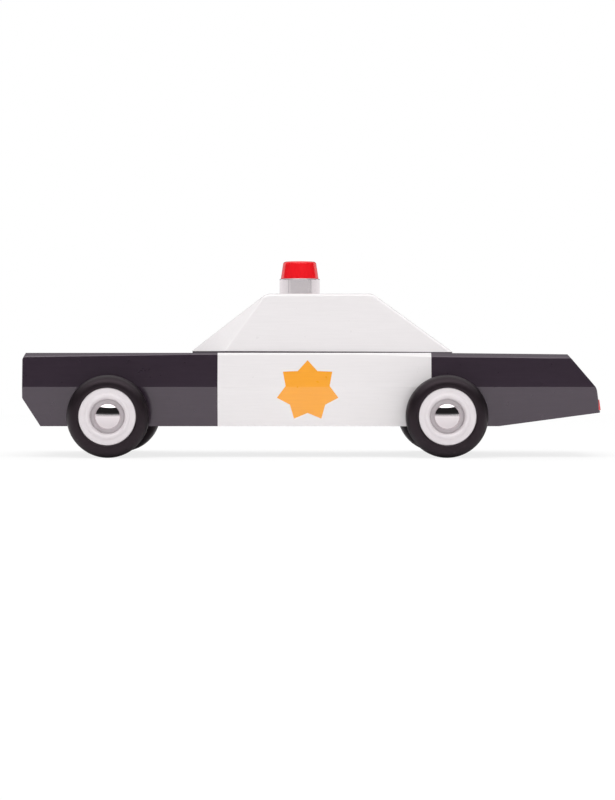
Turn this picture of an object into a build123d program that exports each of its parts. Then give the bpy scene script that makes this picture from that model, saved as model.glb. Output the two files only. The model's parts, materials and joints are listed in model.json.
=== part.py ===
from build123d import *
from math import asin, cos, pi, radians, sin, tan
import os

# A wooden toy patrol car, standing on its wheels on the floor at Z 0.
# The nose points to -X and the tail to +X, so the car's left side is at -Y.
# All lengths are in millimetres.

# Body block, a plank with a crease along each side
body_length = 178.3
body_height = 22.65
ground_clearance = 9.55
crease_width = 50.8
crease_rise = 12.15
deck_lean = 1.2
belly_lean = 1.4
chin_run = 5.6
chin_rise = 8.8
brow_run = 1.0
brow_fall = 2.1
boot_fall = 0.45
tail_slope_run = 10.0
tail_knee_drop = 0.45
tail_knee_lean = 1.15
tail_knee_radius = 4.0
tail_heel_rise = 4.2
undertail_run = 31.2
edge_break_nose = 1.2
edge_break_waist = 0.45
edge_break_boot = 1.15
edge_break_radius = 0.8
nose_corner_radius = 0.5
tail_corner_break = 0.5

# Cabin block and the low black land that it is glued to
screen_setback = 51.9
screen_run = 23.4
back_setback = 45.3
back_run = 24.75
cabin_height = 18.45
cabin_foot_inset = 1.6
cabin_lean = 3.5
screen_corner_run = 10.2
screen_corner_width = 7.5
roof_end_radius = 4.0
cabin_edge_radius = 1.0
land_rise_front = 0.6
land_rise_rear = 0.25
land_inset = 0.25

# Painted fields, let into the wood as thin sheets
paint_depth = 0.35
door_front_setback = 60.3
door_rear_setback = 52.1
star_tip_count = 7
star_setback = 27.75
star_deck_gap = 2.25
star_belly_gap = 2.34
star_notch_depth = 2.7
star_width_share = 1.025

# Lamps and grille, painted on the nose and the tail
head_lamp_diameter = 6.2
head_lamp_rise = 15.0
head_lamp_inset = 7.2
head_lamp_spacing = 7.2
bar_count = 3
bar_lamp_gap = 1.4
bar_height = 1.0
bar_spacing = 2.3
tail_lamp_width = 14.0
tail_lamp_height = 3.2
tail_lamp_rise = 0.8
tail_lamp_edge_gap = 0.1
tail_lamp_proud = 0.3

# Beacon on the roof
beacon_setback = 10.3
collar_diameter = 12.9
collar_height = 5.2
collar_edge_radius = 0.35
lens_foot_diameter = 12.1
lens_top_diameter = 10.4
lens_height = 5.5
lens_edge_radius = 0.9
stem_diameter = 8.0
stem_depth = 6.0

# Wheels, where a lip on each side of the rim holds the tyre, and the rim's
# white face runs up to a low bead round the well. The hub cap stands on a
# shelf in the well, with a groove round it.
front_overhang = 26.9
rear_overhang = 47.6
axle_diameter = 4.0
tyre_diameter = 25.4
tyre_width = 7.6
tyre_shoulder_radius = 2.9
tyre_lip_radius = 0.5
rim_diameter = 17.56
rim_inset = 0.3
rim_lip_width = 1.1
rim_seat_depth = 0.7
rim_wall = 0.9
bead_rise = 0.3
bead_flank = 0.55
bead_width = 0.35
well_lip_width = 1.0
well_lip_drop = 2.2
well_depth = 3.0
groove_width = 0.2
shelf_diameter = 10.0
shelf_rise = 0.25
web_thickness = 1.1
sleeve_diameter = 6.8
hub_cap_diameter = 8.0
hub_cap_dome = 1.1
hub_cap_skirt = 1.4
hub_cap_grip = 1.1

# Clearances, and how far a cut runs past what it cuts
axle_clearance = 0.06
tyre_clearance = 0.8
sleeve_clearance = 0.3
press_gap = 0.02
overrun = 3.0

os.makedirs("parts", exist_ok=True)

# Places along the car
nose_x = -(body_length + tail_lamp_proud) / 2
tail_x = nose_x + body_length
boot_end_x = tail_x - tail_slope_run
door_front_x = nose_x + door_front_setback
door_rear_x = tail_x - door_rear_setback
cabin_front_x = nose_x + screen_setback
cabin_rear_x = tail_x - back_setback
roof_front_x = cabin_front_x + screen_run
roof_rear_x = cabin_rear_x - back_run
screen_side_x = cabin_front_x + screen_corner_run
beacon_x = roof_front_x + beacon_setback
star_x = door_front_x + star_setback
axles = [("front", nose_x + front_overhang), ("rear", tail_x - rear_overhang)]

# Places up the car
belly_z = ground_clearance
deck_z = belly_z + body_height
crease_z = belly_z + crease_rise
heel_z = belly_z + tail_heel_rise
knee_z = crease_z - tail_knee_drop
roof_z = deck_z + cabin_height
star_height = deck_z - star_deck_gap - belly_z - star_belly_gap
star_radius = star_height / (1 + cos(pi / star_tip_count))
star_z = deck_z - star_deck_gap - star_radius
head_lamp_z = belly_z + head_lamp_rise
tail_lamp_z = heel_z + tail_lamp_rise
axle_z = tyre_diameter / 2

# Places across the car, from its centre plane
crease_y = crease_width / 2
deck_y = crease_y - deck_lean
belly_y = crease_y - belly_lean
cabin_foot_y = deck_y - cabin_foot_inset
roof_y = cabin_foot_y - cabin_lean
screen_foot_y = cabin_foot_y - screen_corner_width
head_lamp_y = crease_y - head_lamp_inset
inner_lamp_y = head_lamp_y - head_lamp_spacing
bar_end_y = inner_lamp_y - head_lamp_diameter / 2 - bar_lamp_gap
sides = [("left", -1), ("right", 1)]


def upper_half_width(z):
    """Half the body's width at a height on the upper facet of its side."""
    return crease_y - deck_lean * (z - crease_z) / (deck_z - crease_z)


def lower_half_width(z):
    """Half the body's width at a height on the lower facet of its side."""
    return crease_y - belly_lean * (crease_z - z) / (crease_z - belly_z)


tail_corner_y = lower_half_width(heel_z)


def deck_height(x):
    """The deck is level to the end of the doors, then falls towards the tail."""
    fall_share = max(0, x - door_rear_x) / (boot_end_x - door_rear_x)
    return deck_z - boot_fall * fall_share


def land_height(x):
    """The cabin's seat is highest at the screen and thins towards the rear."""
    along_share = (x - cabin_front_x) / (cabin_rear_x - cabin_front_x)
    return deck_z + land_rise_front + (land_rise_rear - land_rise_front) * along_share


def finish(piece, name):
    """Label a finished piece and write it as one file."""
    piece.part.label = name
    export_step(piece.part, f"parts/{name}.step")


# How much of the deck's side edge is broken away along the car
edge_stations = [  # place x, height of the break
    (nose_x - overrun, edge_break_nose),
    (cabin_front_x, edge_break_waist),
    (roof_rear_x, edge_break_waist),
    (door_rear_x, edge_break_boot),
    (tail_x + overrun, edge_break_boot),
]

# The body's outside, before its bores and painted fields
with BuildPart() as body_shape:
    with BuildSketch(Plane.XZ) as side_view:
        with BuildLine():
            Polyline(
                (nose_x + chin_run, belly_z),
                (nose_x, belly_z + chin_rise),
                (nose_x, deck_z - brow_fall),
                (nose_x + brow_run, deck_z),
                (door_rear_x, deck_z),
                (boot_end_x, deck_z - boot_fall),
                (tail_x - tail_knee_lean, knee_z),
                (tail_x, heel_z),
                (tail_x - undertail_run, belly_z),
                close=True,
            )
        make_face()
        fillet(side_view.vertices().sort_by(Axis.X)[-2], tail_knee_radius)
    extrude(amount=crease_width, both=True)
    with BuildSketch(Plane.YZ):
        with BuildLine():
            Polyline(
                (-belly_y, belly_z),
                (-crease_y, crease_z),
                (-deck_y, deck_z),
                (deck_y, deck_z),
                (crease_y, crease_z),
                (belly_y, belly_z),
                close=True,
            )
        make_face()
    extrude(amount=body_length, both=True, mode=Mode.INTERSECT)
    nose_face = body_shape.faces().sort_by(Axis.X)[0]
    fillet(nose_face.edges().filter_by(Axis.Y, reverse=True), nose_corner_radius)
    for side, way in sides:
        # The tail's upright corners are broken flat
        with BuildSketch(Plane.XY.offset(belly_z)):
            with BuildLine():
                Polyline(
                    (tail_x - tail_corner_break - overrun, way * (tail_corner_y + overrun)),
                    (tail_x + overrun, way * (tail_corner_y - tail_corner_break - overrun)),
                    (tail_x + overrun, way * (tail_corner_y + overrun)),
                    close=True,
                )
            make_face()
        extrude(amount=body_height, mode=Mode.SUBTRACT)
        # The deck's edge is broken flat, with an arc where it meets the side
        for x, break_height in edge_stations:
            top_z = deck_height(x)
            foot_z = top_z - break_height
            crease = Vector(way * crease_y, crease_z)
            foot = Vector(way * upper_half_width(foot_z), foot_z)
            top = Vector(way * (upper_half_width(top_z) - break_height), top_z)
            outside = Vector(way * (crease_y + overrun), top_z + overrun)
            turn = radians((foot - top).get_angle(crease - foot))
            arc_reach = edge_break_radius * tan(turn / 2)
            arc_start = foot + (top - foot).normalized() * arc_reach
            arc_end = foot + (crease - foot).normalized() * arc_reach
            with BuildSketch(Plane.YZ.offset(x)):
                with BuildLine():
                    Line(top, arc_start)
                    TangentArc(arc_start, arc_end, tangent=foot - top)
                    Polyline(arc_end, outside, top)
                make_face()
        loft(ruled=True, mode=Mode.SUBTRACT)

# The cabin, a solid block whose screen wraps round each front corner
with BuildPart() as cabin_block:
    with BuildSketch(Plane.XZ) as cabin_view:
        with BuildLine():
            Polyline(
                (cabin_front_x, land_height(cabin_front_x)),
                (roof_front_x, roof_z),
                (roof_rear_x, roof_z),
                (cabin_rear_x, land_height(cabin_rear_x)),
                close=True,
            )
        make_face()
        fillet(cabin_view.vertices().group_by(Axis.Y)[-1], roof_end_radius)
    extrude(amount=crease_width, both=True)
    with BuildSketch(Plane.YZ):
        with BuildLine():
            Polyline(
                (-cabin_foot_y, deck_z),
                (-roof_y, roof_z),
                (roof_y, roof_z),
                (cabin_foot_y, deck_z),
                close=True,
            )
        make_face()
    extrude(amount=body_length, both=True, mode=Mode.INTERSECT)
    for side, way in sides:
        roof_corner = Vector(roof_front_x, way * roof_y, roof_z)
        screen_foot = Vector(cabin_front_x, way * screen_foot_y, deck_z)
        side_foot = Vector(screen_side_x, way * cabin_foot_y, deck_z)
        down = screen_foot - roof_corner
        inward = down.cross(side_foot - roof_corner) * way
        split(bisect_by=Plane(origin=roof_corner, x_dir=down, z_dir=inward), keep=Keep.TOP)
    foot_edges = cabin_block.faces().sort_by(Axis.Z)[0].edges()
    fillet(cabin_block.edges() - foot_edges, cabin_edge_radius)
    with BuildSketch(Plane.XY.offset(roof_z)):
        with Locations((beacon_x, 0)):
            Circle(stem_diameter / 2 + press_gap)
    extrude(amount=-stem_depth - press_gap, mode=Mode.SUBTRACT)
finish(cabin_block, "cabin_block")

# The land stands a little inside the cabin's foot
with BuildPart() as land:
    with BuildSketch(Plane.XY.offset(belly_z)):
        with BuildLine():
            Polyline(
                (cabin_front_x, -screen_foot_y),
                (screen_side_x, -cabin_foot_y),
                (cabin_rear_x, -cabin_foot_y),
                (cabin_rear_x, cabin_foot_y),
                (screen_side_x, cabin_foot_y),
                (cabin_front_x, screen_foot_y),
                close=True,
            )
        make_face()
        offset(amount=-land_inset, kind=Kind.INTERSECTION)
    extrude(amount=roof_z - belly_z)
    with BuildSketch(Plane.XZ):
        with BuildLine():
            Polyline(
                (cabin_front_x, deck_z - overrun),
                (cabin_front_x, land_height(cabin_front_x)),
                (cabin_rear_x, land_height(cabin_rear_x)),
                (cabin_rear_x, deck_z - overrun),
                close=True,
            )
        make_face()
    extrude(amount=crease_width, both=True, mode=Mode.INTERSECT)

# A star's outline, run right through the car
with BuildPart() as star_prism:
    with BuildSketch(Plane.XZ):
        with BuildLine():
            star_outline = []
            for step in range(2 * star_tip_count):
                turn = pi / 2 + pi * step / star_tip_count
                reach = star_radius - star_notch_depth * (step % 2)
                across, up = star_width_share * reach * cos(turn), reach * sin(turn)
                star_outline.append((star_x + across, star_z + up))
            Polyline(*star_outline, close=True)
        make_face()
    extrude(amount=crease_width, both=True)

sheets = []
for side, way in sides:
    # A white field covers the side of the body along the doors
    with BuildPart() as door_sheet:
        add(body_shape.part)
        with Locations(((door_front_x + door_rear_x) / 2, way * crease_y, crease_z)):
            Box(door_rear_x - door_front_x, crease_width, body_length, mode=Mode.INTERSECT)
        with Locations((0, -way * paint_depth, 0)):
            add(body_shape.part, mode=Mode.SUBTRACT)
    with BuildPart() as door_field:
        add(door_sheet.part)
        add(star_prism.part, mode=Mode.SUBTRACT)
    finish(door_field, f"door_field_{side}")
    with BuildPart() as star:
        add(door_sheet.part)
        add(star_prism.part, mode=Mode.INTERSECT)
    finish(star, f"star_{side}")

    # Two round lamps on the nose
    with BuildPart() as head_lamps:
        with BuildSketch(Plane.YZ.offset(nose_x)):
            with Locations(
                (way * head_lamp_y, head_lamp_z),
                (way * inner_lamp_y, head_lamp_z),
            ):
                Circle(head_lamp_diameter / 2)
        extrude(amount=paint_depth)
    finish(head_lamps, f"head_lamps_{side}")

    # A low lamp that stands a little proud of the tail, out to its corner
    with BuildPart() as tail_lamp:
        lamp_edge_y = lower_half_width(tail_lamp_z) - tail_lamp_edge_gap
        with Locations((tail_lamp_proud, 0, 0)):
            add(body_shape.part)
        with BuildSketch(Plane.YZ.offset(tail_x + tail_lamp_proud)):
            lamp_y = lamp_edge_y - tail_lamp_width / 2
            with Locations((way * lamp_y, tail_lamp_z + tail_lamp_height / 2)):
                Rectangle(tail_lamp_width, tail_lamp_height)
        extrude(amount=-tail_slope_run, mode=Mode.INTERSECT)
        with Locations((-paint_depth, 0, 0)):
            add(body_shape.part, mode=Mode.SUBTRACT)
    finish(tail_lamp, f"tail_lamp_{side}")
    sheets += [door_sheet, head_lamps, tail_lamp]

# Short bars between the head lamps stand for a grille
with BuildPart() as grille:
    with BuildSketch(Plane.YZ.offset(nose_x)):
        with Locations((0, head_lamp_z)):
            with GridLocations(0, bar_spacing, 1, bar_count):
                Rectangle(2 * bar_end_y, bar_height)
    extrude(amount=paint_depth)
finish(grille, "grille_bars")
sheets.append(grille)

with BuildPart() as body_block:
    add(body_shape.part)
    add(land.part)
    for sheet in sheets:
        add(sheet.part, mode=Mode.SUBTRACT)
    with BuildSketch(Plane.XZ):
        with Locations(*[(x, axle_z) for place, x in axles]):
            Circle(axle_diameter / 2 + axle_clearance)
    extrude(amount=crease_width, both=True, mode=Mode.SUBTRACT)
finish(body_block, "body_block")

# The beacon is a red lens whose stem holds a metal collar to the roof
with BuildPart() as beacon_collar:
    with BuildSketch(Plane.XY.offset(roof_z)):
        with Locations((beacon_x, 0)):
            Circle(collar_diameter / 2)
            Circle(stem_diameter / 2 + press_gap, mode=Mode.SUBTRACT)
    extrude(amount=collar_height)
    circles = beacon_collar.edges().filter_by(GeomType.CIRCLE)
    fillet(circles.sort_by(SortBy.RADIUS)[-2:], collar_edge_radius)
finish(beacon_collar, "beacon_collar")

with BuildPart() as beacon_lens:
    lens_foot_z = roof_z + collar_height
    with BuildSketch(Plane.XY.offset(lens_foot_z)):
        with Locations((beacon_x, 0)):
            Circle(lens_foot_diameter / 2)
    with BuildSketch(Plane.XY.offset(lens_foot_z + lens_height)):
        with Locations((beacon_x, 0)):
            Circle(lens_top_diameter / 2)
    loft()
    fillet(beacon_lens.edges().sort_by(Axis.Z)[-1], lens_edge_radius)
    with BuildSketch(Plane.XY.offset(lens_foot_z)):
        with Locations((beacon_x, 0)):
            Circle(stem_diameter / 2)
    extrude(amount=-collar_height - stem_depth)
finish(beacon_lens, "beacon_lens")

# Places across a wheel, counted outwards from the car's centre plane
tyre_inner_y = crease_y + tyre_clearance
sleeve_inner_y = lower_half_width(axle_z + sleeve_diameter / 2) + sleeve_clearance
tyre_outer_y = tyre_inner_y + tyre_width
rim_inner_y = tyre_inner_y + rim_inset
rim_outer_y = tyre_outer_y - rim_inset
bead_y = rim_outer_y + bead_rise
well_y = rim_outer_y - well_depth
shelf_y = well_y + shelf_rise
skirt_y = shelf_y + hub_cap_skirt
axle_end_y = shelf_y + hub_cap_grip

# Radii of a wheel
rim_radius = rim_diameter / 2
seat_radius = rim_radius - rim_seat_depth
bore_radius = axle_diameter / 2 + press_gap
cap_radius = hub_cap_diameter / 2
shelf_radius = shelf_diameter / 2
well_radius = shelf_radius + groove_width
bead_inner_radius = well_radius + well_lip_width
bead_outer_radius = bead_inner_radius + bead_width
whitewall_radius = bead_outer_radius + bead_flank
dome_radius = (cap_radius**2 + hub_cap_dome**2) / 2 / hub_cap_dome
dome_turn = asin(cap_radius / dome_radius) / 2

for place, axle_x in axles:
    # The axle turns in the body with a wheel fast on each end
    with BuildPart() as axle:
        with BuildSketch(Plane.XZ):
            with Locations((axle_x, axle_z)):
                Circle(axle_diameter / 2)
        extrude(amount=axle_end_y, both=True)
    finish(axle, f"axle_{place}")

    for side, way in sides:
        # Sections are drawn with the radius across and the way outwards up
        section = Plane(origin=(axle_x, 0, axle_z), x_dir=(1, 0, 0), z_dir=(0, 0, way))
        spin = Axis((axle_x, 0, axle_z), (0, 1, 0))

        with BuildPart() as tyre:
            with BuildSketch(section) as tyre_section:
                with BuildLine():
                    Polyline(
                        (rim_radius + press_gap, tyre_inner_y),
                        (tyre_diameter / 2, tyre_inner_y),
                        (tyre_diameter / 2, tyre_outer_y),
                        (rim_radius + press_gap, tyre_outer_y),
                        (rim_radius + press_gap, rim_outer_y - rim_lip_width - press_gap),
                        (seat_radius + press_gap, rim_outer_y - rim_lip_width - press_gap),
                        (seat_radius + press_gap, rim_inner_y + rim_lip_width + press_gap),
                        (rim_radius + press_gap, rim_inner_y + rim_lip_width + press_gap),
                        close=True,
                    )
                make_face()
                corners = tyre_section.vertices().sort_by(Axis.X)
                fillet(corners[-2:], tyre_shoulder_radius)
                lips = tyre_section.vertices().group_by(Axis.Y)
                fillet([group.sort_by(Axis.X)[0] for group in (lips[0], lips[-1])], tyre_lip_radius)
            revolve(axis=spin)
        finish(tyre, f"tyre_{place}_{side}")

        with BuildPart() as rim:
            with BuildSketch(section) as rim_section:
                with BuildLine():
                    Polyline(
                        (bore_radius, sleeve_inner_y),
                        (sleeve_diameter / 2, sleeve_inner_y),
                        (sleeve_diameter / 2, well_y - web_thickness),
                        (seat_radius - rim_wall, well_y - web_thickness),
                        (seat_radius - rim_wall, rim_inner_y),
                        (rim_radius, rim_inner_y),
                        (rim_radius, rim_inner_y + rim_lip_width),
                        (seat_radius, rim_inner_y + rim_lip_width),
                        (seat_radius, rim_outer_y - rim_lip_width),
                        (rim_radius, rim_outer_y - rim_lip_width),
                        (rim_radius, rim_outer_y),
                        (whitewall_radius, rim_outer_y),
                        (bead_outer_radius, bead_y),
                        (bead_inner_radius, bead_y),
                    )
                    # The well flares out to the bead over a quarter of an ellipse
                    EllipticalCenterArc(
                        (bead_inner_radius, bead_y - well_lip_drop),
                        well_lip_width,
                        well_lip_drop,
                        start_angle=90,
                        arc_size=90,
                    )
                    Polyline(
                        (well_radius, bead_y - well_lip_drop),
                        (well_radius, well_y),
                        (shelf_radius, well_y),
                        (shelf_radius, shelf_y),
                        (bore_radius, shelf_y),
                        (bore_radius, sleeve_inner_y),
                    )
                make_face()
            revolve(axis=spin)
        finish(rim, f"rim_{place}_{side}")

        with BuildPart() as hub_cap:
            with BuildSketch(section):
                with BuildLine():
                    Polyline(
                        (0, skirt_y + hub_cap_dome),
                        (0, axle_end_y + press_gap),
                        (bore_radius, axle_end_y + press_gap),
                        (bore_radius, shelf_y),
                        (cap_radius, shelf_y),
                        (cap_radius, skirt_y),
                    )
                    ThreePointArc(
                        (cap_radius, skirt_y),
                        (
                            dome_radius * sin(dome_turn),
                            skirt_y + hub_cap_dome - dome_radius * (1 - cos(dome_turn)),
                        ),
                        (0, skirt_y + hub_cap_dome),
                    )
                make_face()
            revolve(axis=spin)
        finish(hub_cap, f"hub_cap_{place}_{side}")
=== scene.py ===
import json
from math import asin, cos, pi, radians, sin, tan

import bmesh
import bpy
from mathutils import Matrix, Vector


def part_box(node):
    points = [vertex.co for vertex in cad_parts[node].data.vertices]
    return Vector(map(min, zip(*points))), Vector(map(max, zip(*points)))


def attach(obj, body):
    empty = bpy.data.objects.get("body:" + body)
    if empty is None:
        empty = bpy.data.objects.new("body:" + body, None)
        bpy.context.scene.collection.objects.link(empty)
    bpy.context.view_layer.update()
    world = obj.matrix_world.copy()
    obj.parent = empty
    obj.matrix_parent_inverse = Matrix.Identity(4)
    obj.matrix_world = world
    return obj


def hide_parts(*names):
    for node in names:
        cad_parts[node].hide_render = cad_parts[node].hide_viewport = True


# A wooden toy patrol car: two lacquered blocks on four rubber-tyred wheels.
# The nose points to -X, and the side in the photograph faces -Y.

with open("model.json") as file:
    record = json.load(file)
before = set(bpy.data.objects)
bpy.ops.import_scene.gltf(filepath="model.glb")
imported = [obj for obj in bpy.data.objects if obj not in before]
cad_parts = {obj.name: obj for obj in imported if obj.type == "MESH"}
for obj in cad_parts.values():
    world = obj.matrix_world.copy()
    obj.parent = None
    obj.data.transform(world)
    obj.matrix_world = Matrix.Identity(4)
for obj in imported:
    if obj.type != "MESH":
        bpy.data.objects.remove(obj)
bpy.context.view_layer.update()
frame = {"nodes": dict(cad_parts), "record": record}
nodes = frame["nodes"]
scene = bpy.context.scene
MM = 0.001
WAVE_TURNS = 20  # radians that a wave texture turns through in one unit of its scale
WHITE = (1, 1, 1, 1)
BLACK = (0, 0, 0, 1)


# Colours and shader nodes

def linear(hex_colour):
    """An sRGB hex colour as the linear colour that a shader takes."""
    shares = [int(hex_colour[at:at + 2], 16) / 255 for at in (1, 3, 5)]
    return tuple(s / 12.92 if s <= 0.04045 else ((s + 0.055) / 1.055) ** 2.4 for s in shares) + (1,)


def add_node(material, kind, settings=None, links=None):
    """Add one shader node, set what it holds and link what feeds it."""
    node = material.node_tree.nodes.new(kind)
    for name, value in (settings or {}).items():
        if name in node.inputs:
            node.inputs[name].default_value = value
        else:
            setattr(node, name, value)
    for name, source in (links or {}).items():
        material.node_tree.links.new(source, node.inputs[name])
    return node


def new_finish(name):
    """A material with its surface shader, ready for a pattern."""
    material = bpy.data.materials.new(name)
    material.use_nodes = True
    return material, material.node_tree.nodes["Principled BSDF"]


def set_surface(shader, **values):
    """Set the shader's own sockets, whose names are written with underscores."""
    for name, value in values.items():
        shader.inputs[name.replace("_", " ")].default_value = value


def join(material, source, shader, socket):
    """Link a pattern to one of the shader's sockets."""
    material.node_tree.links.new(source, shader.inputs[socket])


def waves_per_metre(size_mm):
    """The scale of a noise whose spots are about this size."""
    return 1 / (size_mm * MM)


# Finishes

def lacquered_beech(name, colour, thin_colour, roughness=0.3, tint=WHITE):
    """Beech, sprayed with tinted lacquer under a clear satin coat.

    The coats fill the pores, so the wood shows only as faint long fibres where
    the colour lies thinner, and the spray as a slight orange peel.
    """
    fibre_mm, fibre_depth_mm = 0.5, 0.008
    fibre_stretch = 0.05  # fibres are about 10 mm long
    peel_mm, peel_depth_mm = 1.6, 0.02
    gloss_spread = 0.05
    material, shader = new_finish(name)
    set_surface(shader, IOR=1.5, Specular_Tint=tint,
                Coat_Weight=1.0, Coat_Roughness=0.15, Coat_IOR=1.5)
    place = add_node(material, "ShaderNodeTexCoord")
    # Fibres run along the car
    along = add_node(material, "ShaderNodeMapping", {"Scale": (fibre_stretch, 1.0, 1.0)},
                     {"Vector": place.outputs["Object"]})
    fibres = add_node(material, "ShaderNodeTexNoise",
                      {"Scale": waves_per_metre(fibre_mm), "Detail": 3.0, "Roughness": 0.6},
                      {"Vector": along.outputs["Vector"]})
    cover = add_node(material, "ShaderNodeValToRGB", None, {"Fac": fibres.outputs["Fac"]})
    thick, thin = cover.color_ramp.elements
    thick.position, thick.color = 0.35, linear(colour)
    thin.position, thin.color = 0.75, linear(thin_colour)
    join(material, cover.outputs["Color"], shader, "Base Color")
    # The spray lies in shallow swells
    peel = add_node(material, "ShaderNodeTexNoise",
                    {"Scale": waves_per_metre(peel_mm), "Detail": 1.0},
                    {"Vector": place.outputs["Object"]})
    gloss = add_node(material, "ShaderNodeMapRange",
                     {"To Min": roughness - gloss_spread, "To Max": roughness + gloss_spread},
                     {"Value": peel.outputs["Fac"]})
    join(material, gloss.outputs["Result"], shader, "Roughness")
    grain_bump = add_node(material, "ShaderNodeBump",
                          {"Strength": 0.15, "Distance": fibre_depth_mm * MM},
                          {"Height": fibres.outputs["Fac"]})
    peel_bump = add_node(material, "ShaderNodeBump",
                         {"Strength": 0.3, "Distance": peel_depth_mm * MM},
                         {"Height": peel.outputs["Fac"], "Normal": grain_bump.outputs["Normal"]})
    join(material, peel_bump.outputs["Normal"], shader, "Normal")
    join(material, peel_bump.outputs["Normal"], shader, "Coat Normal")
    return material


def turned_aluminium(name):
    """Aluminium turned on a lathe: bright, with fine rings left by the tool."""
    ring_mm, ring_depth_mm = 0.25, 0.01  # the tool's rings are nearer 0.1 mm, too fine to show
    material, shader = new_finish(name)
    set_surface(shader, Base_Color=linear("#E4DCDF"), Metallic=1.0, Roughness=0.15)
    place = add_node(material, "ShaderNodeTexCoord")
    rings = add_node(material, "ShaderNodeTexWave",
                     {"wave_type": "BANDS", "bands_direction": "Z",
                      "Scale": waves_per_metre(ring_mm) * 2 * pi / WAVE_TURNS,
                      "Distortion": 0.4, "Detail": 1.0},
                     {"Vector": place.outputs["Object"]})
    bump = add_node(material, "ShaderNodeBump",
                    {"Strength": 0.2, "Distance": ring_depth_mm * MM},
                    {"Height": rings.outputs["Fac"]})
    join(material, bump.outputs["Normal"], shader, "Normal")
    return material


def chromed_brass(name):
    """A pressed cap with bright chrome plating: a mirror with a trace of haze."""
    smear_mm = 2.0  # handling leaves smears
    material, shader = new_finish(name)
    set_surface(shader, Base_Color=linear("#DFD7DA"), Metallic=1.0)
    place = add_node(material, "ShaderNodeTexCoord")
    smears = add_node(material, "ShaderNodeTexNoise",
                      {"Scale": waves_per_metre(smear_mm), "Detail": 2.0},
                      {"Vector": place.outputs["Object"]})
    haze = add_node(material, "ShaderNodeMapRange", {"To Min": 0.03, "To Max": 0.09},
                    {"Value": smears.outputs["Fac"]})
    join(material, haze.outputs["Result"], shader, "Roughness")
    return material


def drawn_steel(name):
    """Bright drawn steel rod, with fine streaks along it from the die."""
    streak_mm, streak_stretch = 0.15, 0.03
    material, shader = new_finish(name)
    set_surface(shader, Base_Color=linear("#C9C8C6"), Metallic=1.0)
    place = add_node(material, "ShaderNodeTexCoord")
    # The rod lies across the car
    along = add_node(material, "ShaderNodeMapping", {"Scale": (1.0, streak_stretch, 1.0)},
                     {"Vector": place.outputs["Object"]})
    marks = add_node(material, "ShaderNodeTexNoise",
                     {"Scale": waves_per_metre(streak_mm), "Detail": 2.0},
                     {"Vector": along.outputs["Vector"]})
    gloss = add_node(material, "ShaderNodeMapRange", {"To Min": 0.2, "To Max": 0.36},
                     {"Value": marks.outputs["Fac"]})
    join(material, gloss.outputs["Result"], shader, "Roughness")
    return material


def moulded_plastic(name, colour, roughness, grit_mm, grit_depth_mm, tint=WHITE):
    """Injection-moulded plastic: even colour and the mould's fine sheen."""
    gloss_spread = 0.04
    material, shader = new_finish(name)
    set_surface(shader, Base_Color=linear(colour), IOR=1.52, Specular_Tint=tint)
    place = add_node(material, "ShaderNodeTexCoord")
    grit = add_node(material, "ShaderNodeTexNoise",
                    {"Scale": waves_per_metre(grit_mm), "Detail": 2.0},
                    {"Vector": place.outputs["Object"]})
    gloss = add_node(material, "ShaderNodeMapRange",
                     {"To Min": roughness - gloss_spread, "To Max": roughness + gloss_spread},
                     {"Value": grit.outputs["Fac"]})
    join(material, gloss.outputs["Result"], shader, "Roughness")
    bump = add_node(material, "ShaderNodeBump",
                    {"Strength": 0.3, "Distance": grit_depth_mm * MM},
                    {"Height": grit.outputs["Fac"]})
    join(material, bump.outputs["Normal"], shader, "Normal")
    return material


# The black is mixed with a little aubergine, which its gloss shows too
black_lacquer = lacquered_beech("black_lacquered_beech", "#271D28", "#2B212C",
                                tint=(1, 0.78, 0.95, 1))
white_lacquer = lacquered_beech("white_lacquered_beech", "#EAE6E7", "#E7E3E4")
orange_lacquer = lacquered_beech("orange_lacquered_beech", "#FAA514", "#F6A011")
cream_lacquer = lacquered_beech("cream_lacquered_beech", "#EFE8CF", "#EAE2C8")
silver_lacquer = lacquered_beech("silver_lacquered_beech", "#BDBDBF", "#B6B6B8")
red_lacquer = lacquered_beech("red_lacquered_beech", "#DB2A30", "#D4252B")
collar_metal = turned_aluminium("turned_aluminium")
cap_metal = chromed_brass("chromed_brass")
rod_metal = drawn_steel("drawn_steel")
# The beacon's lens is opaque red polystyrene, polished in its mould
red_plastic = moulded_plastic("red_polystyrene", "#EE1B24", roughness=0.1,
                              grit_mm=3.0, grit_depth_mm=0.01)
# The rims are white ABS with a faint mould texture
white_plastic = moulded_plastic("white_abs", "#E0D9DC", roughness=0.26,
                                grit_mm=0.35, grit_depth_mm=0.008)
# Rubber is dull between soft highlights, with a fine sandblasted mould texture
rubber = moulded_plastic("black_rubber", "#0F090D", roughness=0.42,
                         grit_mm=0.3, grit_depth_mm=0.02, tint=(0.76, 0.6, 0.69, 1))

# The pieces that keep the CAD's own surface
cad_finishes = {
    "black_lacquer": black_lacquer,
    "white_lacquer": white_lacquer,
    "orange_lacquer": orange_lacquer,
    "cream_lacquer": cream_lacquer,
    "silver_lacquer": silver_lacquer,
    "red_lacquer": red_lacquer,
    "steel_rod": rod_metal,
}
for part in frame["record"]["subparts"]:
    finish = cad_finishes.get(part["material_slot"])
    if finish:
        for holder in nodes[part["node"]].material_slots:
            holder.material = finish


# Turned and moulded pieces, made by spinning a section round their axis

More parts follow.
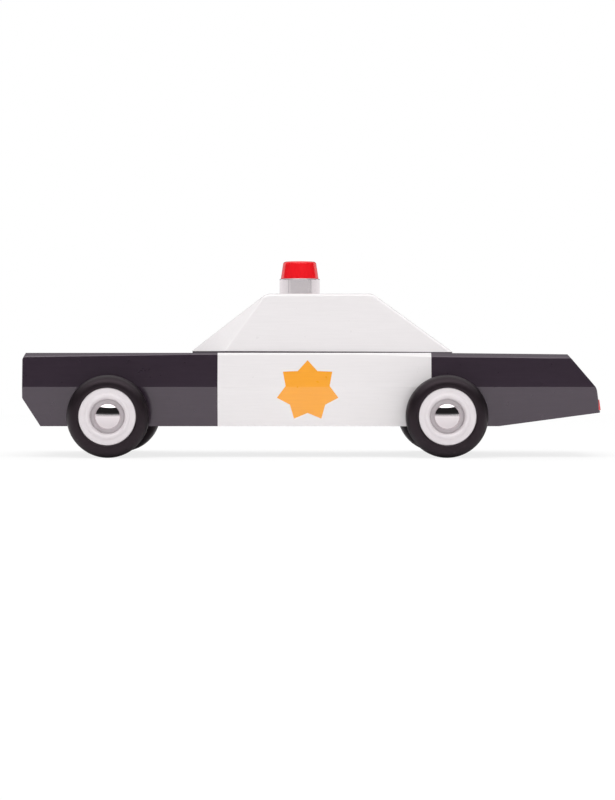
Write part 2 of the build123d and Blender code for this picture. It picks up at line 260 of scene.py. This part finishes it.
def rounded(corners):
    """Points along a closed section, with an arc at each corner that has a radius.

    Each corner is (distance from the axis, place along the axis, radius of the arc).
    """
    points = []
    for at, (far, along, radius) in enumerate(corners):
        here = Vector((far, along))
        if not radius:
            points.append(here)
            continue
        to_last = (Vector(corners[at - 1][:2]) - here).normalized()
        to_next = (Vector(corners[(at + 1) % len(corners)][:2]) - here).normalized()
        half_angle = to_last.angle(to_next) / 2
        centre = here + (to_last + to_next).normalized() * radius / sin(half_angle)
        start = here + to_last * radius / tan(half_angle) - centre
        end = here + to_next * radius / tan(half_angle) - centre
        steps = max(3, round(12 * (pi - 2 * half_angle) / pi) + 2)
        for step in range(steps + 1):
            spoke = start.lerp(end, step / steps).normalized()
            points.append(centre + spoke * radius)
    return points


def spin_section(name, section, turns=144):
    """A closed mesh spun about its own Z axis. Section points are in mm.

    A point on the axis becomes one corner, and any other point a ring of them.
    """
    shape = bmesh.new()
    rows = []
    for point in section:
        far, along = point.x * MM, point.y * MM
        if point.x < 1e-4:
            rows.append([shape.verts.new((0, 0, along))])
        else:
            angles = [2 * pi * t / turns for t in range(turns)]
            rows.append([shape.verts.new((far * cos(a), far * sin(a), along)) for a in angles])
    for at, row in enumerate(rows):
        after = rows[(at + 1) % len(rows)]
        if len(row) == 1 and len(after) == 1:
            continue
        for t in range(turns):
            ring = (t + 1) % turns
            if len(row) == 1:
                shape.faces.new((row[0], after[ring], after[t]))
            elif len(after) == 1:
                shape.faces.new((row[t], row[ring], after[0]))
            else:
                shape.faces.new((row[t], row[ring], after[ring], after[t]))
    bmesh.ops.recalc_face_normals(shape, faces=shape.faces)
    return finish_mesh(name, shape)


def finish_mesh(name, shape):
    """Turn a drawn shape into an object with smooth shading but crisp flats."""
    mesh = bpy.data.meshes.new(name)
    shape.to_mesh(mesh)
    shape.free()
    mesh.shade_smooth()
    mesh.set_sharp_from_angle(angle=radians(35))
    piece = bpy.data.objects.new(name, mesh)
    scene.collection.objects.link(piece)
    flats = piece.modifiers.new("even_flats", "WEIGHTED_NORMAL")
    flats.keep_sharp = True
    return piece


def set_piece(piece, body, node, finish):
    """Give a finished piece its material and let it stand for its CAD node."""
    piece.data.materials.append(finish)
    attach(piece, body)
    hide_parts(node)


def box_mm(node):
    """The corners of a CAD node in mm."""
    low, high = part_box(node)
    return low / MM, high / MM


# Wheels, in mm. A place across the car is counted outwards from its centre plane.
# What a CAD box gives is read from it, and the sizes inside it are the CAD's own.
tyre_low, tyre_high = box_mm("tyre_front_right")
rim_low, rim_high = box_mm("rim_front_right")
cap_low, cap_high = box_mm("hub_cap_front_right")
press_gap = 0.02
bore_radius = 2.0 + press_gap

tyre_inner, tyre_outer = tyre_low.y, tyre_high.y
tyre_radius = (tyre_high.z - tyre_low.z) / 2
tyre_shoulder = 3.2
tyre_lip = 0.5
mould_line_rise = 0.06
mould_line_top, mould_line_foot = 0.06, 0.12  # half of its width

rim_radius = (rim_high.z - rim_low.z) / 2
rim_inset = 0.3
rim_back = tyre_inner + rim_inset
rim_face = tyre_outer - rim_inset
rim_lip = 1.1
seat_depth = 0.7
rim_wall = 0.9
sleeve_radius = 3.4
web = 1.1

# The rim's white face runs up to a low bead round the well, and the cap stands
# on a shelf in the well with a groove round it
bead_top = rim_high.y
shelf_top = cap_low.y
shelf_radius = 5.0
well_floor = shelf_top - 0.25
well_radius = shelf_radius + 0.2
lip_width = 1.0
lip_drop = 2.2
bead_inner = well_radius + lip_width
bead_outer = bead_inner + 0.35
whitewall_radius = bead_outer + 0.55

cap_radius = (cap_high.z - cap_low.z) / 2
cap_top = cap_high.y
skirt_top = shelf_top + 1.4
cap_grip = 1.1


def flared_lip(far, along, steps=20):
    """Points down a quarter of an ellipse, from a level face to the well's wall."""
    turns = [pi / 2 * s / steps for s in range(steps + 1)]
    return [Vector((far - lip_width * sin(turn), along - lip_drop * (1 - cos(turn))))
            for turn in turns]


def dome_points(radius, foot, top, steps=24):
    """Points up a dome from its foot to its top."""
    rise = top - foot
    sphere = (radius**2 + rise**2) / 2 / rise
    half_turn = asin(radius / sphere)
    turns = [half_turn * (1 - s / steps) for s in range(steps + 1)]
    return [Vector((sphere * sin(turn), top - sphere * (1 - cos(turn)))) for turn in turns]


# The tyre's tread is flat with soft shoulders and a mould line round its middle,
# and its bore has a seat that the rim's two lips hold
tread_radius = tyre_radius - mould_line_rise
tread_middle = (tyre_inner + tyre_outer) / 2
tyre_bore = rim_radius + press_gap
tyre_seat = rim_radius - seat_depth + press_gap
tyre_section = rounded([
    (tyre_bore, tyre_inner, tyre_lip),
    (tread_radius, tyre_inner, tyre_shoulder),
    (tread_radius, tread_middle - mould_line_foot, 0),
    (tyre_radius, tread_middle - mould_line_top, 0),
    (tyre_radius, tread_middle + mould_line_top, 0),
    (tread_radius, tread_middle + mould_line_foot, 0),
    (tread_radius, tyre_outer, tyre_shoulder),
    (tyre_bore, tyre_outer, tyre_lip),
    (tyre_bore, rim_face - rim_lip - press_gap, 0),
    (tyre_seat, rim_face - rim_lip - press_gap, 0),
    (tyre_seat, rim_back + rim_lip + press_gap, 0),
    (tyre_bore, rim_back + rim_lip + press_gap, 0),
])

# From the sleeve on the axle, by the web and the barrel, to the face and the bead
web_back = well_floor - web
rim_seat = rim_radius - seat_depth
barrel_radius = rim_seat - rim_wall
rim_section = rounded([
    (bore_radius, rim_low.y, 0),
    (sleeve_radius, rim_low.y, 0.2),
    (sleeve_radius, web_back, 0.3),
    (barrel_radius, web_back, 0.3),
    (barrel_radius, rim_back, 0.2),
    (rim_radius, rim_back, 0.2),
    (rim_radius, rim_back + rim_lip, 0),
    (rim_seat, rim_back + rim_lip, 0),
    (rim_seat, rim_face - rim_lip, 0),
    (rim_radius, rim_face - rim_lip, 0),
    (rim_radius, rim_face, 0.25),
    (whitewall_radius, rim_face, 0.3),
    (bead_outer, bead_top, 0.15),
    (bead_inner, bead_top, 0),
])
rim_section += flared_lip(bead_inner, bead_top)[1:]
rim_section += rounded([
    (well_radius, well_floor, 0),
    (shelf_radius, well_floor, 0),
    (shelf_radius, shelf_top, 0.1),
    (bore_radius, shelf_top, 0),
])

# The cap is a pressed dome on a straight skirt, bored for the axle's end
cap_section = rounded([
    (0, shelf_top + cap_grip + press_gap, 0),
    (bore_radius, shelf_top + cap_grip + press_gap, 0),
    (bore_radius, shelf_top, 0),
    (cap_radius, shelf_top, 0),
    (cap_radius, skirt_top, 0),
])
cap_section += dome_points(cap_radius, skirt_top, cap_top)[1:]

wheel = [  # name, CAD node, section, slot, finish
    ("moulded_tyre", "tyre", tyre_section, "black_rubber", rubber),
    ("moulded_rim", "rim", rim_section, "white_plastic", white_plastic),
    ("chromed_cap", "hub_cap", cap_section, "chrome_cap", cap_metal),
]
for end in ("front", "rear"):
    for side, way in (("left", -1), ("right", 1)):
        low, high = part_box(f"tyre_{end}_{side}")
        centre = Vector(((low.x + high.x) / 2, 0, (low.z + high.z) / 2))
        for kind, node, section, slot, finish in wheel:
            piece = spin_section(f"{kind}_{end}_{side}", section)
            piece.location = centre
            piece.rotation_euler = (radians(-90 * way), 0, 0)
            set_piece(piece, f"{end}_wheelset", f"{node}_{end}_{side}", finish)


# Beacon, in mm: a metal collar and a red lens on a stem
collar_low, collar_high = box_mm("beacon_collar")
lens_low, lens_high = box_mm("beacon_lens")
collar_radius = (collar_high.x - collar_low.x) / 2
lens_radius = (lens_high.x - lens_low.x) / 2
lens_taper = 0.85
stem_radius = 4.0
collar_bore = stem_radius + press_gap
beacon_centre = Vector(((collar_low.x + collar_high.x) / 2, 0, 0)) * MM
foot, shoulder, top = collar_low.z, collar_high.z, lens_high.z
collar_section = rounded([
    (collar_bore, foot, 0),
    (collar_radius, foot, 0.3),
    (collar_radius, shoulder, 0.35),
    (collar_bore, shoulder, 0),
])
lens_section = rounded([
    (0, lens_low.z, 0),
    (stem_radius, lens_low.z, 0.3),
    (stem_radius, shoulder, 0),
    (lens_radius, shoulder, 0.2),
    (lens_radius - lens_taper, top, 0.9),
    (0, top, 0),
])
collar = spin_section("turned_collar", collar_section)
collar.location = beacon_centre
set_piece(collar, "car", "beacon_collar", collar_metal)
lens = spin_section("beacon_cap", lens_section)
lens.location = beacon_centre
set_piece(lens, "car", "beacon_lens", red_plastic)


# Floor, surroundings and lamps

def glowing_card(name, level):
    """A studio card that glows at one plain level of grey and is no lamp: what reflections see of
    it is a painted reflection.
    """
    material, shader = new_finish(name)
    set_surface(shader, Base_Color=BLACK, Roughness=1.0, Specular_IOR_Level=0.0,
                Emission_Color=(level, level, level, 1), Emission_Strength=1.0)
    return material


def seen_ray(tree_owner):
    """1 for what the camera, a mirror or glass sees, and 0 for what lights the scene."""
    path = add_node(tree_owner, "ShaderNodeLightPath")
    mirrored = add_node(tree_owner, "ShaderNodeMath", {"operation": "MAXIMUM"},
                        {0: path.outputs["Is Camera Ray"], 1: path.outputs["Is Glossy Ray"]})
    seen = add_node(tree_owner, "ShaderNodeMath", {"operation": "MAXIMUM"},
                    {0: mirrored.outputs["Value"], 1: path.outputs["Is Transmission Ray"]})
    return seen.outputs["Value"]


def flat_panel(name, rows, finish):
    """One flat or bent sheet of the studio, given as rows of corners."""
    shape = bmesh.new()
    rows = [[shape.verts.new(corner) for corner in row] for row in rows]
    for first, second in zip(rows, rows[1:]):
        for at in range(len(first) - 1):
            shape.faces.new((first[at], first[at + 1], second[at + 1], second[at]))
    mesh = bpy.data.meshes.new(name)
    shape.to_mesh(mesh)
    shape.free()
    mesh.materials.append(finish)
    panel = bpy.data.objects.new(name, mesh)
    scene.collection.objects.link(panel)
    return panel


# White paper under the car, which fades into the white room further out. The
# camera sees at least this share of its glow, which keeps the car's shadow pale.
fade_start, fade_end = 0.25, 0.8  # metres from the car's middle
camera_glow = 0.8
floor_reach = 60.0
white_paper, paper_shader = new_finish("white_paper")
set_surface(paper_shader, Base_Color=WHITE, Roughness=1.0, Specular_IOR_Level=0.0)
white_glow = add_node(white_paper, "ShaderNodeEmission", {"Strength": 1.0})
place = add_node(white_paper, "ShaderNodeTexCoord")
from_car = add_node(white_paper, "ShaderNodeVectorMath", {"operation": "LENGTH"},
                    {0: place.outputs["Object"]})
glow_share = add_node(white_paper, "ShaderNodeMapRange",
                      {"From Min": fade_start, "From Max": fade_end, "To Min": 0.0, "To Max": 1.0},
                      {"Value": from_car.outputs["Value"]})
path = add_node(white_paper, "ShaderNodeLightPath")
camera_share = add_node(white_paper, "ShaderNodeMapRange", {"To Max": camera_glow},
                        {"Value": path.outputs["Is Camera Ray"]})
least_glow = add_node(white_paper, "ShaderNodeMath", {"operation": "MAXIMUM"},
                      {0: glow_share.outputs["Result"], 1: camera_share.outputs["Result"]})
glow_seen = add_node(white_paper, "ShaderNodeMath", {"operation": "MULTIPLY"},
                     {0: least_glow.outputs["Value"], 1: seen_ray(white_paper)})
lit_paper = add_node(white_paper, "ShaderNodeMixShader", None,
                     {0: glow_seen.outputs["Value"], 1: paper_shader.outputs["BSDF"],
                      2: white_glow.outputs["Emission"]})
paper_out = white_paper.node_tree.nodes["Material Output"]
join(white_paper, lit_paper.outputs["Shader"], paper_out, "Surface")
flat_panel("floor", [[(-floor_reach, -floor_reach, 0), (floor_reach, -floor_reach, 0)],
                     [(-floor_reach, floor_reach, 0), (floor_reach, floor_reach, 0)]], white_paper)


def standing_card(name, from_degrees, to_degrees, foot, head, finish):
    """A glowing card that bends round the car and shows only in reflections, as a painted
    reflection; it lights and shades nothing.

    It runs from one bearing to another, counted from the -Y side towards +X,
    and from one height to another.
    """
    steps, distance = 48, 1.5
    bearings = [radians(from_degrees + (to_degrees - from_degrees) * s / steps)
                for s in range(steps + 1)]
    card = flat_panel(name, [[(distance * sin(a), -distance * cos(a), z) for a in bearings]
                             for z in (foot, head)], finish)
    card.visible_camera = False
    card.visible_diffuse = False
    card.visible_shadow = False


# In reflections only, the room is white up to a little above the horizon, then dark up to its
# ceiling: glowing cards paint these dark reflections and cast no shade
dark_reflection_card = glowing_card("dark_room_reflection", 0.02)
dim_reflection_card = glowing_card("dim_room_reflection", 0.08)
for side, first, last in (("left", -115, 115), ("right", 150, 210)):
    standing_card(f"dim_room_reflection_{side}", first, last, 0.19, 0.36, dim_reflection_card)
    standing_card(f"dark_room_reflection_{side}", first, last, 0.36, 1.2, dark_reflection_card)
# Painted reflections: a low glowing strip of grey stands on the side that faces -Y, with a darker
# one past each end, which show as a grey band and darker stripes in the beacon's collar
grey_card = glowing_card("grey_strip", 0.55)
dark_stripe_reflection_card = glowing_card("painted_dark_stripe", 0.4)
for name, first, last, finish in (("grey_front", -55, 55, grey_card),
                                  ("shade_tail", 57, 71, dark_stripe_reflection_card),
                                  ("shade_nose", -69, -61, dark_stripe_reflection_card)):
    standing_card(name, first, last, 0.06, 0.15, finish)
# High on that side hangs a glowing card brighter than white, which is no lamp and lights nothing:
# it paints a highlight on the tyres' shoulders and the caps' domes
painted_highlight_card = glowing_card("painted_softbox_highlight", 2.5)
standing_card("painted_softbox_highlight", -60, 60, 1.25, 3.5, painted_highlight_card)


def soft_lamp(name, place, size, watts):
    """A soft lamp turned to the car's middle.

    What shines in the car is the white room and its cards, not the lamps.
    """
    car_middle = Vector((0, 0, 0.02))
    lamp = bpy.data.lights.new(name, "AREA")
    lamp.shape = "RECTANGLE"
    lamp.size, lamp.size_y = size
    lamp.energy = watts
    holder = bpy.data.objects.new(name, lamp)
    scene.collection.objects.link(holder)
    holder.location = place
    holder.rotation_euler = (car_middle - Vector(place)).to_track_quat("-Z", "Y").to_euler()
    holder.visible_glossy = False


lamps = [  # name, place, width and height, watts
    ("overhead_softbox", (-0.04, -0.38, 1.4), (1.2, 0.8), 9.2),
    ("nose_softbox", (-1.2, -0.6, 0.9), (0.8, 0.8), 1.2),
    ("left_fill", (0.3, -1.5, 0.3), (1.2, 0.5), 3.3),
    ("right_fill", (0, 1.3, 1.0), (1.2, 0.8), 3),
]
for name, place, size, watts in lamps:
    soft_lamp(name, place, size, watts)

# The room lights the car at 0.6 and is seen as plain white
world = bpy.data.worlds.new("white_room")
scene.world = world
world.use_nodes = True
room = world.node_tree.nodes["Background"]
room.inputs["Color"].default_value = WHITE
level = add_node(world, "ShaderNodeMapRange", {"To Min": 0.6, "To Max": 1.0},
                 {"Value": seen_ray(world)})
join(world, level.outputs["Result"], room, "Strength")

# Camera, level and square to the car's left side, a little above the wheels' centres
camera_data = bpy.data.cameras.new("camera")
camera = bpy.data.objects.new("camera", camera_data)
scene.collection.objects.link(camera)
camera.location = (-0.0036, -0.77, 0.0266)
camera.rotation_euler = (radians(90), 0, 0)
camera_data.sensor_width = 36
camera_data.lens = 108.8
camera_data.shift_x = 0.0094
camera_data.shift_y = -0.0363
camera_data.clip_start = 0.05
camera_data.clip_end = 200
scene.camera = camera
scene.view_settings.view_transform = "Standard"
